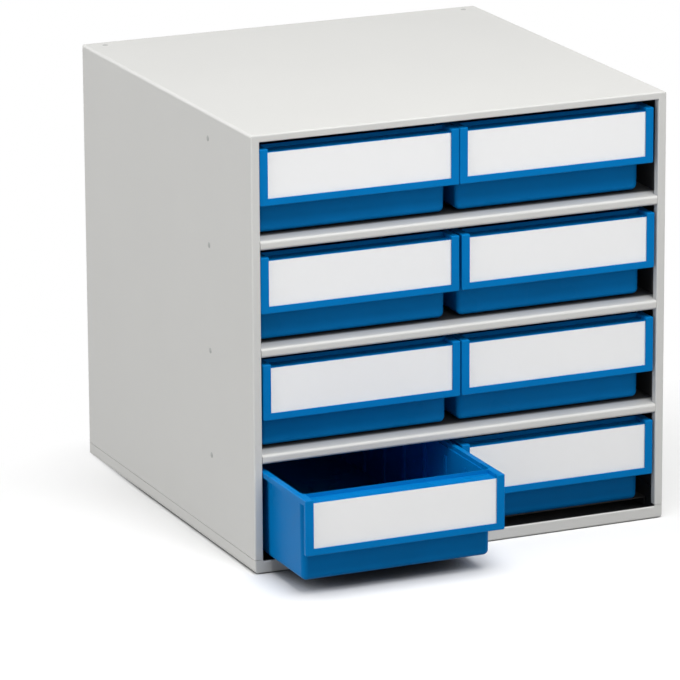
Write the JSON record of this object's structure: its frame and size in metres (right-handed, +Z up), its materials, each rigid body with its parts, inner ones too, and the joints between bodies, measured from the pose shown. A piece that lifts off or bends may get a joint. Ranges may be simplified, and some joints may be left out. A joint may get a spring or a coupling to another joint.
{
  "type": "parts bin cabinet",
  "caption": "Folded steel cabinet with rows of pull-out plastic bins, each with a label holder across the front and a finger grip behind it.",
  "frame": {"origin": "middle of the cabinet's underside, between the front face and the back", "axes": "+X to the right as seen from the front, +Y from the front to the back, +Z up"},
  "size_m": [0.4014, 0.4932, 0.3957],
  "materials": {
    "case_steel": "light grey powder coat",
    "rivet_steel": "light grey powder coat",
    "drawer_plastic": "satin blue moulding",
    "label_card": "blank white card",
    "clear_cover": "clear sheet"
  },
  "bodies": {
    "cabinet": {"outer_shell": "case_steel", "base_tray": "case_steel", "back_panel": "case_steel", "floor_shelf": "case_steel", "shelf_1": "case_steel", "shelf_2": "case_steel", "shelf_3": "case_steel", "stop_rivets_left": "rivet_steel", "stop_rivets_right": "rivet_steel", "back_rivets": "rivet_steel"},
    "drawer_1_left": {"drawer_1_left": "drawer_plastic", "label_card_1_left": "label_card", "label_cover_1_left": "clear_cover"},
    "drawer_1_right": {"drawer_1_right": "drawer_plastic", "label_card_1_right": "label_card", "label_cover_1_right": "clear_cover"},
    "drawer_2_left": {"drawer_2_left": "drawer_plastic", "label_card_2_left": "label_card", "label_cover_2_left": "clear_cover"},
    "drawer_2_right": {"drawer_2_right": "drawer_plastic", "label_card_2_right": "label_card", "label_cover_2_right": "clear_cover"},
    "drawer_3_left": {"drawer_3_left": "drawer_plastic", "label_card_3_left": "label_card", "label_cover_3_left": "clear_cover"},
    "drawer_3_right": {"drawer_3_right": "drawer_plastic", "label_card_3_right": "label_card", "label_cover_3_right": "clear_cover"},
    "drawer_4_left": {"drawer_4_left": "drawer_plastic", "label_card_4_left": "label_card", "label_cover_4_left": "clear_cover"},
    "drawer_4_right": {"drawer_4_right": "drawer_plastic", "label_card_4_right": "label_card", "label_cover_4_right": "clear_cover"}
  },
  "joints": [
    {"name": "drawer_1_left_slide", "type": "slide", "parent": "cabinet", "child": "drawer_1_left", "axis": [0, -1, 0], "range_m": [0, 0.2785]},
    {"name": "drawer_1_right_slide", "type": "slide", "parent": "cabinet", "child": "drawer_1_right", "axis": [0, -1, 0], "range_m": [0, 0.2785]},
    {"name": "drawer_2_left_slide", "type": "slide", "parent": "cabinet", "child": "drawer_2_left", "axis": [0, -1, 0], "range_m": [0, 0.2785]},
    {"name": "drawer_2_right_slide", "type": "slide", "parent": "cabinet", "child": "drawer_2_right", "axis": [0, -1, 0], "range_m": [0, 0.2785]},
    {"name": "drawer_3_left_slide", "type": "slide", "parent": "cabinet", "child": "drawer_3_left", "axis": [0, -1, 0], "range_m": [0, 0.2785]},
    {"name": "drawer_3_right_slide", "type": "slide", "parent": "cabinet", "child": "drawer_3_right", "axis": [0, -1, 0], "range_m": [0, 0.2785]},
    {"name": "drawer_4_left_slide", "type": "slide", "parent": "cabinet", "child": "drawer_4_left", "axis": [0, -1, 0], "range_m": [-0.094, 0.1845]},
    {"name": "drawer_4_right_slide", "type": "slide", "parent": "cabinet", "child": "drawer_4_right", "axis": [0, -1, 0], "range_m": [0, 0.2785]}
  ]
}
